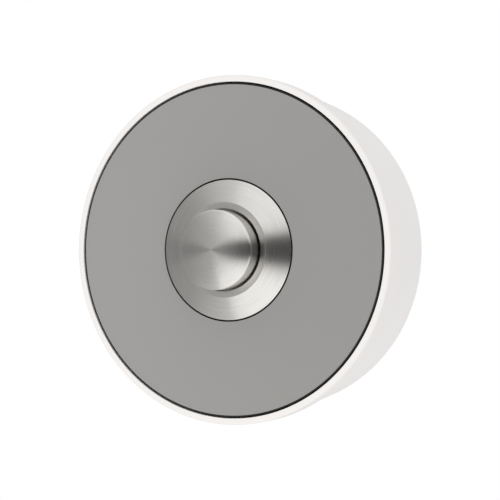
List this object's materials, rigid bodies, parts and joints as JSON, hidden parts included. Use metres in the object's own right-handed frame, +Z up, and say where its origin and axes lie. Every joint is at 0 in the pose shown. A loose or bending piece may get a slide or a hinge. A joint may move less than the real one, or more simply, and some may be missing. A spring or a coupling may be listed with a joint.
{
  "type": "doorbell push button",
  "caption": "Round surface-mounted doorbell push with a tapered white housing, a flush grey disc, a raised steel collar and a domed sprung button.",
  "frame": {"origin": "centre of the back face, on the wall plane", "axes": "+Y into the wall, so the front faces -Y; +Z up; +X to the right as seen from the front"},
  "size_m": [0.075, 0.0324, 0.075],
  "materials": {
    "white_coating": "satin white powder coating on aluminium",
    "grey_disc": "fine blasted and anodised, matt mid grey",
    "turned_stainless": "turned stainless steel with fine rings",
    "plain_steel": "bright zinc-plated or spring steel",
    "brass": "plain turned and stamped brass",
    "black_plastic": "moulded, fine matt",
    "natural_nylon": "moulded natural nylon",
    "black_rubber": "moulded EPDM"
  },
  "bodies": {
    "housing": {"rear_housing": "white_coating", "front_ring": "white_coating", "front_disc": "grey_disc", "collar": "turned_stainless", "carrier_plate": "black_plastic", "switch_body": "black_plastic", "disc_pad": "black_rubber", "housing_seal": "black_rubber", "wall_gasket": "black_rubber", "cable_grommet": "black_rubber", "collar_gasket": "black_rubber", "carrier_screws": "plain_steel", "housing_screw": "plain_steel", "lock_washer": "plain_steel", "retaining_ring": "plain_steel", "return_spring": "plain_steel", "switch_screws": "plain_steel", "terminal_clamps": "plain_steel", "collar_nut": "brass", "fixed_contact_left": "brass", "fixed_contact_right": "brass", "terminal_screws": "brass", "spring_seat": "natural_nylon"},
    "button": {"push_button": "turned_stainless", "button_seal": "black_rubber", "plunger_tip": "natural_nylon", "contact_bridge": "brass", "bridge_clip": "plain_steel"}
  },
  "joints": [
    {"name": "button_press", "type": "slide", "parent": "housing", "child": "button", "axis": [0, 1, 0], "range_m": [0, 0.0022], "stiffness_N_per_m": 800, "springref_m": -0.0025, "deforming": ["return_spring"]}
  ]
}
